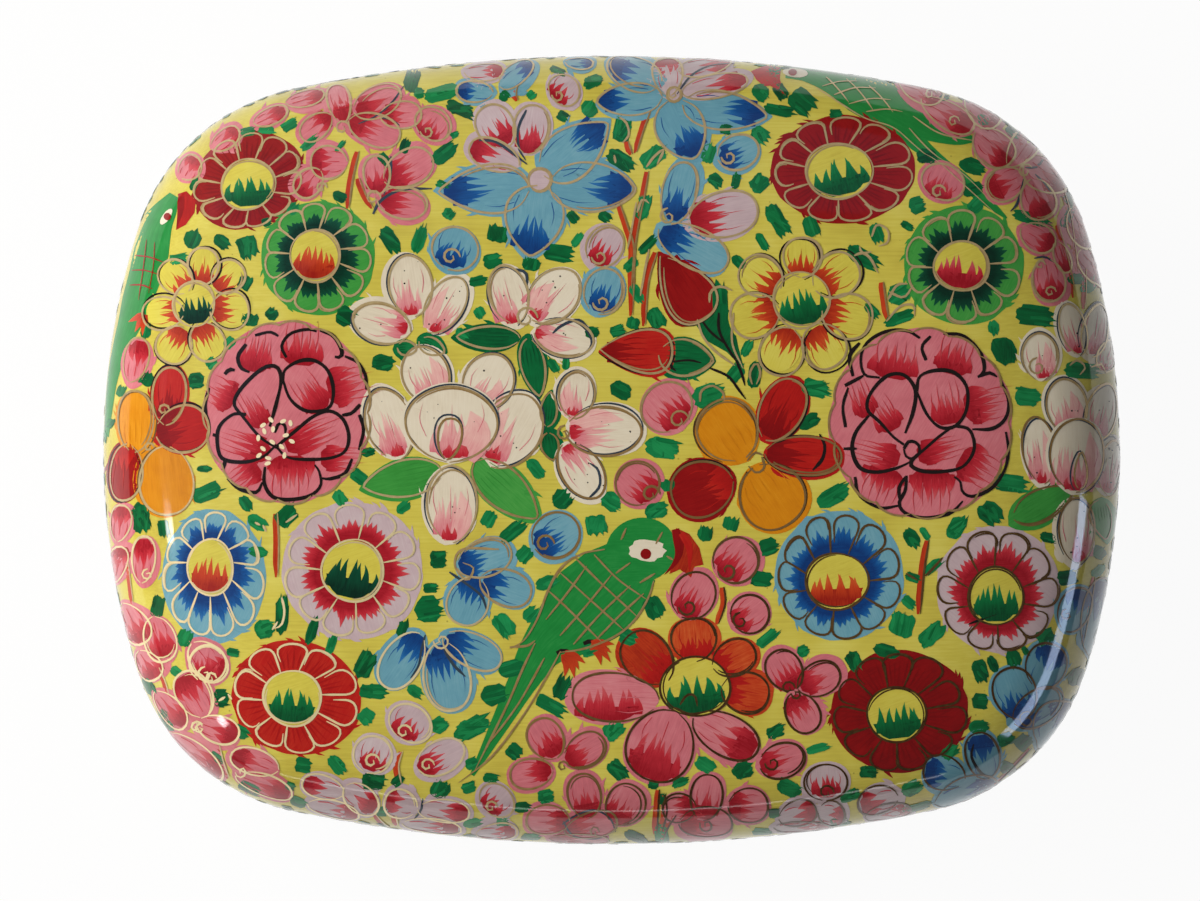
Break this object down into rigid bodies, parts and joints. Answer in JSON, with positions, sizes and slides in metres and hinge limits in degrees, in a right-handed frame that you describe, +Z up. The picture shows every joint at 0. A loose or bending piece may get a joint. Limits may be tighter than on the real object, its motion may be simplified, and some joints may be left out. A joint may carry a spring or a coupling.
{
  "type": "trinket box",
  "caption": "Pillow-shaped papier-mache box with a lift-off domed lid, a glued-in collar and a painted, lacquered flower pattern.",
  "frame": {"origin": "middle of the underside, on the surface that the box stands on", "axes": "+Z up, +X along the length of the box, +Y across it"},
  "size_m": [0.152, 0.118, 0.063],
  "materials": {
    "base_lacquer": "painted and clear lacquered",
    "collar_lacquer": "black lacquer",
    "lid_lacquer": "painted and clear lacquered"
  },
  "bodies": {
    "base": {"base_shell": "base_lacquer", "collar": "collar_lacquer"},
    "lid": {"lid_shell": "lid_lacquer"}
  },
  "joints": [
    {"name": "lid_lift", "type": "slide", "parent": "base", "child": "lid", "axis": [0, 0, 1], "range_m": [0, 0.045]}
  ]
}
